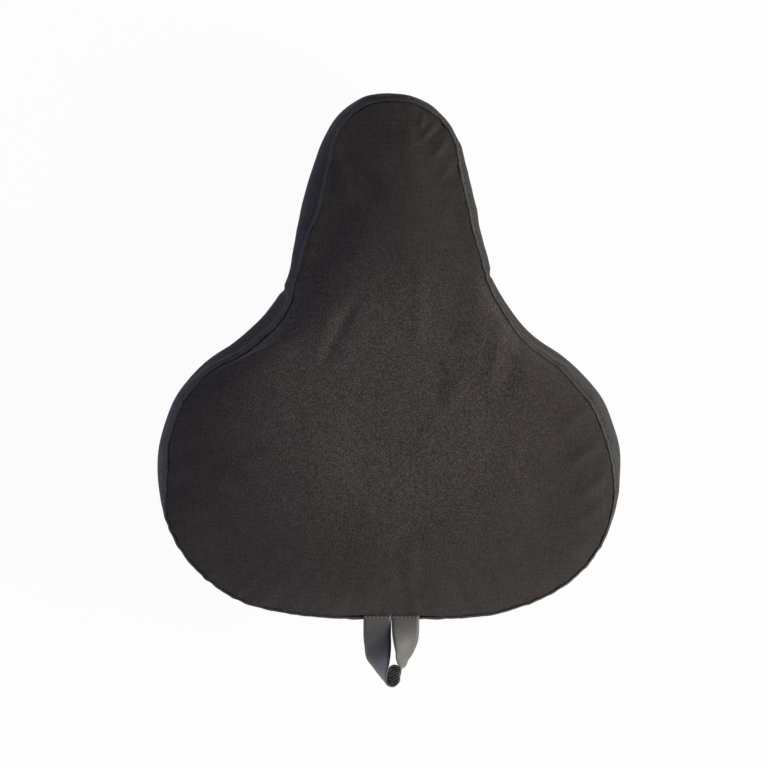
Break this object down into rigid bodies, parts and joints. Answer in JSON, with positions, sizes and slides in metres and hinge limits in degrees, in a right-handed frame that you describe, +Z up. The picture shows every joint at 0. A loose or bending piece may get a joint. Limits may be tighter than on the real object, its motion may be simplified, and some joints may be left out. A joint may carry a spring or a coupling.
{
  "type": "bike saddle cover",
  "caption": "Sewn cloth cover that pulls over a wide bicycle saddle, with a crowned top panel, a rolled side band, an elasticated gathered hem and a ribbon pull loop at the rear",
  "frame": {"origin": "middle of the whole length and width, ribbon loop included, on the ground plane that the hem stands on", "axes": "+Y towards the nose, +X to the rider's right, +Z up out of the top panel"},
  "size_m": [0.2518, 0.3232, 0.0729],
  "materials": {
    "panel_cloth": "matte",
    "band_cloth": "matte",
    "black_elastic": "matte",
    "grey_ribbon": "satin"
  },
  "bodies": {
    "root": {"top_panel": "panel_cloth", "side_band": "band_cloth", "hem_elastic": "black_elastic", "pull_loop": "grey_ribbon"}
  },
  "joints": []
}
